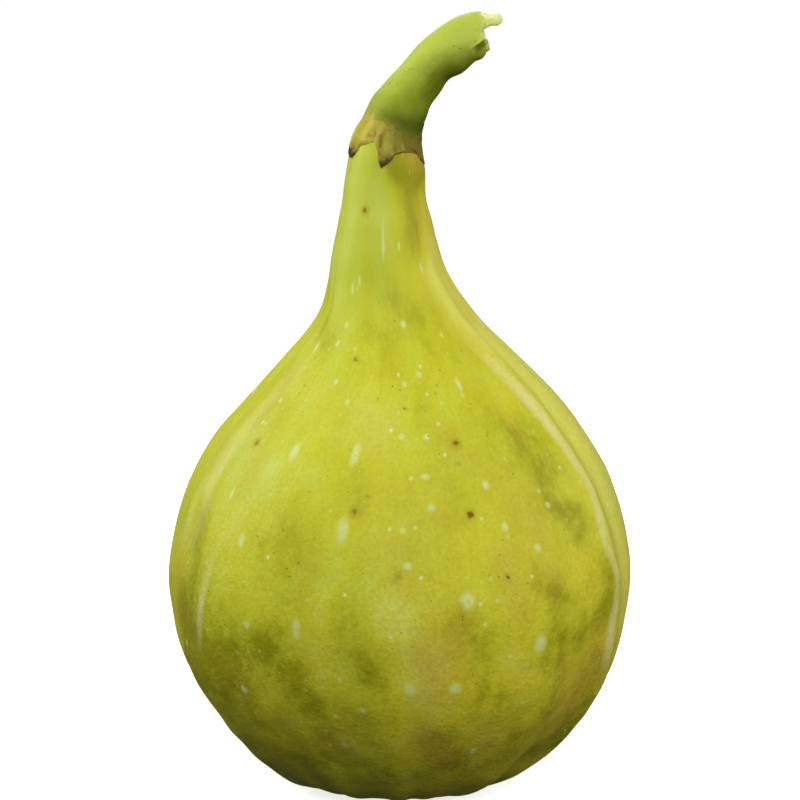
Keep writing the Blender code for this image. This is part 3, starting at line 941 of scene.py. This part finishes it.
def make_stalk(tube, bark, pith):
    """A bent tube drawn up from the collar to a torn rim round a pale core."""
    last = len(tube.along) - 1
    end = tube.along[last]
    rings = [(0, *offset_and_share) for offset_and_share in FOOT_RINGS]
    rings += [(ring, 0, 1) for ring in range(last + 1)]
    rings += [(last, *offset_and_share) for offset_and_share in END_RINGS]
    mesh = drawn_tube("stalk", STALK_SIDES, len(rings))
    turn, number = stored(mesh, "turn"), stored(mesh, "ring").astype(int)
    ring, offset, share = np.array(rings)[number].T
    along = tube.along[ring.astype(int)]
    relief, scar, lip = bark_relief(along, turn, end)
    spokes = tube.spokes(along, turn)
    reach = (tube.thickness(along) + relief) * share
    notch = 0.55 * hump(np.degrees(turn) % 360, *NOTCH_TURN)
    ragged = 0.45 * lumps(spokes * share[:, None], 0.6, 7) - notch
    onward = offset + ragged * smooth_step(along, end - 1.5, end)
    run = tube.at(along, tube.run)
    place(mesh, tube.at(along, tube.centre) + spokes * reach[:, None] + run * onward[:, None])
    map_for_baking(mesh, turn, number / number.max())
    paint(mesh, "along", along)
    paint(mesh, "around", around_stalk(along, turn))
    paint(mesh, "scar", scar)
    paint(mesh, "lip", lip)
    piece("fig_stalk", mesh, [bark, pith], "stalk_bark", "stalk")
    rim = len(FOOT_RINGS) + last + 1
    for face in mesh.polygons:
        face.material_index = int(min(number[v] for v in face.vertices) >= rim)


def make_strand(pith):
    """The torn strand of pith that stands out of the broken end."""
    tube = Tube(STRAND_LINE, STRAND_RINGS)
    mesh = drawn_tube("strand", STRAND_SIDES, STRAND_RINGS)
    turn, ring = stored(mesh, "turn"), stored(mesh, "ring").astype(int)
    radius = np.where((ring == 0) | (ring == STRAND_RINGS - 1), 0, tube.radius[ring])
    spokes = tube.spokes(tube.along[ring], turn, 0.55)
    places = tube.centre[ring] + spokes
    ragged = 1 + 0.30 * lumps(places, 0.9, 1) + 0.08 * lumps(places, 0.3, 2)
    place(mesh, tube.centre[ring] + spokes * (radius * ragged)[:, None])
    map_for_baking(mesh, turn, ring / (STRAND_RINGS - 1))
    piece("stalk_strand", mesh, [pith], "stalk_bark")


# ---- Bracts and eye ----


def sheet_mesh(name, across, down, where, layers, facing):
    """A sheet made from a grid. where(sideways, fall) gives points and the values of the layers named."""
    shape = bmesh.new()
    shape.loops.layers.uv.new("OFBake")
    bmesh.ops.create_grid(shape, x_segments=across, y_segments=down, size=1, calc_uvs=True)
    places = np.array([vertex.co for vertex in shape.verts])
    points, values = where(places[:, 0], (1 - places[:, 1]) / 2)
    for vertex, point in zip(shape.verts, points):
        vertex.co = Vector(point) * MM
    bmesh.ops.recalc_face_normals(shape, faces=shape.faces)
    if sum(face.normal.dot(facing) for face in shape.faces) < 0:
        bmesh.ops.reverse_faces(shape, faces=shape.faces)
    mesh = mesh_of(shape, name)
    for layer, value in zip(layers, values):
        paint(mesh, layer, value)
    return mesh


def thicken(obj, thickness):
    """Gives a sheet its thickness, outwards from the side that faces the fruit."""
    shell = obj.modifiers.new("thickness", "SOLIDIFY")
    shell.thickness = thickness * MM
    shell.offset = 1


def make_bract(finish, stalk, name, left, tip, right, tip_height):
    """A small pointed scale that grows out of the stalk's foot and hugs the neck down to its tip."""
    line = smooth_line(BRACT_LINE)
    top = BRACT_LINE[0][1]

    def where(sideways, fall):
        # Below the notch the sides close in to the tip.
        way = np.clip((fall - BRACT_NOTCH) / (1 - BRACT_NOTCH), 0, 0.995)
        closing = (1 - 0.45 * smooth_step(way, 0, 0.4)) * (1 - way**2.4)
        west = tip + (left - tip) * closing
        east = tip + (right - tip) * closing
        azimuth = west + (east - west) * (sideways + 1) / 2
        angle = np.radians(azimuth)

        # The free part is ragged and crumpled, and its margins tuck into the neck.
        around = np.stack([np.sin(angle) * 3.5, -np.cos(angle) * 3.5, fall * 4], axis=1)
        free = smooth_step(fall, 0.15, 0.5)
        height = top - fall * (top - tip_height) + 0.22 * lumps(around, 1.1, 4) * free
        crumpled = 0.05 * lumps(around, 0.9, 5) + 0.10 * lumps(around, 2.2, 6)
        tucked = smooth_step(np.abs(sideways), 0.78, 1) * (1 - smooth_step(way, 0.45, 0.9))
        radius = line_at(height, line) + (crumpled - 0.16 * tucked) * free - BRACT_THICKNESS

        # It follows the stalk's foot at its top and the neck below.
        neck = stand_and_lean(np.stack([radius * np.sin(angle), -radius * np.cos(angle), height], axis=1))
        along = height - STALK_LINE[0][2]
        turn = angle + math.pi / 2
        spokes = stalk.spokes(along, turn)
        foot = stalk.at(along, stalk.centre) + spokes * radius[:, None]
        on_stalk = smooth_step(height, 67.3, 69.2)[:, None]
        brown, pale = (
            sum(share * hump(azimuth, a, w) * hump(height, h, half) for a, h, w, half, share in folds)
            for folds in (BROWN_FOLDS, PALE_FOLDS)
        )
        layers = (fall, np.abs(sideways), brown, pale, along, around_stalk(along, turn))
        return neck * (1 - on_stalk) + foot * on_stalk, layers

    outwards = Vector((math.sin(math.radians(tip)), -math.cos(math.radians(tip)), 0))
    names = ("down", "edge", "brown", "pale", "along", "around")
    mesh = sheet_mesh(name, BRACT_ACROSS, BRACT_DOWN, where, names, outwards)
    bract = piece(f"bract_{name}", mesh, [finish], "dry_bract", f"basal_bract_{name}")
    thicken(bract, BRACT_THICKNESS)


def make_eye_scale(finish, number):
    """One of the scales that close the eye: a pointed leaf from the rim, one side over its neighbour."""
    middle = math.tau * number / EYE_SCALES

    def where(sideways, fall):
        out = 1 - fall
        radius = EYE_SCALE_TIP + out * (EYE_SCALE_ROOT - EYE_SCALE_TIP)
        angle = middle + sideways * math.pi / EYE_SCALES * (1.12 - 0.45 * fall**2)
        crumple = 0.06 * lumps(np.stack([sideways * 2, out * 3, sideways * 0 + number], axis=1), 1, 6)
        height = 0.50 + 0.32 * out**2 + 0.16 * sideways + 0.10 * sideways**2 + crumple
        x, y = radius * np.sin(angle), -radius * np.cos(angle) * DEPTH_SHARE
        return np.stack([x, y, height], axis=1), (out,)

    mesh = sheet_mesh("eye scale", EYE_SCALE_GRID, EYE_SCALE_GRID, where, ("out",), Vector((0, 0, -1)))
    scale = piece(f"ostiole_scale_{number + 1}", mesh, [finish], "eye_scale", f"eye_scale_{number + 1}")
    thicken(scale, EYE_SCALE_THICKNESS)


# ---- Stage ----


def make_floor():
    """A plain pale floor that the fig stands on. Its glow dims near the fig's foot, a painted shadow."""
    shape = bmesh.new()
    bmesh.ops.create_grid(shape, x_segments=1, y_segments=1, size=FLOOR_REACH)
    mesh = mesh_of(shape, "floor")
    f = Finish("pale floor")
    f.set(Base_Color=(0.82, 0.82, 0.82, 1), Roughness=0.9, Specular_IOR_Level=0.0)
    # The glow is dimmer near the fig's foot: a painted shadow.
    away = f.node("VectorMath", {"operation": "LENGTH"}, {0: f.position()}, "Value")
    glow_with_painted_shadow = f.mix((0.80, 0.80, 0.80, 1), (1, 1, 1, 1), away.ramp(12, 120))
    f.set(Emission_Color=glow_with_painted_shadow, Emission_Strength=0.97)
    mesh.materials.append(f.material)
    floor = linked("floor", mesh)
    floor.visible_diffuse = False
    floor.visible_glossy = False


def aimed(data, azimuth, elevation, distance, height):
    """A lamp or a camera in this direction and at this distance from the point that it looks at."""
    target = Vector((0, 0, height * MM))
    a, e = math.radians(azimuth), math.radians(elevation)
    away = Vector((math.sin(a) * math.cos(e), -math.cos(a) * math.cos(e), math.sin(e)))
    obj = linked(data.name, data)
    obj.location = target + away * distance * MM
    obj.rotation_mode = "QUATERNION"
    obj.rotation_quaternion = away.to_track_quat("Z", "Y")
    return obj


def make_softbox(name, azimuth, elevation, size, brightness):
    """A round softbox. At brightness 1 it lights a white surface that faces it fully white."""
    light = bpy.data.lights.new(name, "AREA")
    light.shape = "DISK"
    light.size = size * MM
    light.energy = brightness * (math.pi * SOFTBOX_DISTANCE * MM) ** 2
    aimed(light, azimuth, elevation, SOFTBOX_DISTANCE, SOFTBOX_AIM)


def make_camera():
    """A long lens that takes in HALF_VIEW millimetres each way at the fig."""
    camera = bpy.data.cameras.new("camera")
    camera.lens = camera.sensor_width / 2 / (HALF_VIEW / CAMERA_DISTANCE)
    camera.clip_start = 0.01
    camera.clip_end = 100
    bpy.context.scene.camera = aimed(camera, 0, CAMERA_ELEVATION, CAMERA_DISTANCE, CAMERA_AIM)


def set_the_stage():
    scene = bpy.context.scene
    scene.view_settings.view_transform = "Standard"
    world = bpy.data.worlds.new("soft room")
    world.use_nodes = True
    background = world.node_tree.nodes["Background"]
    background.inputs["Color"].default_value = (1, 1, 1, 1)
    background.inputs["Strength"].default_value = ROOM_LIGHT
    scene.world = world
    make_floor()
    for softbox in SOFTBOXES:
        make_softbox(*softbox)
    make_camera()


skin = skin_finish()
bark = bark_finish()
pith = pith_finish()
dry = bract_finish()
eye = eye_finish()

outline = smooth_line(OUTLINE)
stalk_tube = Tube(STALK_LINE, STALK_RINGS)
make_fruit(skin, outline)
make_stalk(stalk_tube, bark, pith)
make_strand(pith)
for bract in BRACTS:
    make_bract(dry, stalk_tube, *bract)
for number in range(EYE_SCALES):
    make_eye_scale(eye, number)
set_the_stage()
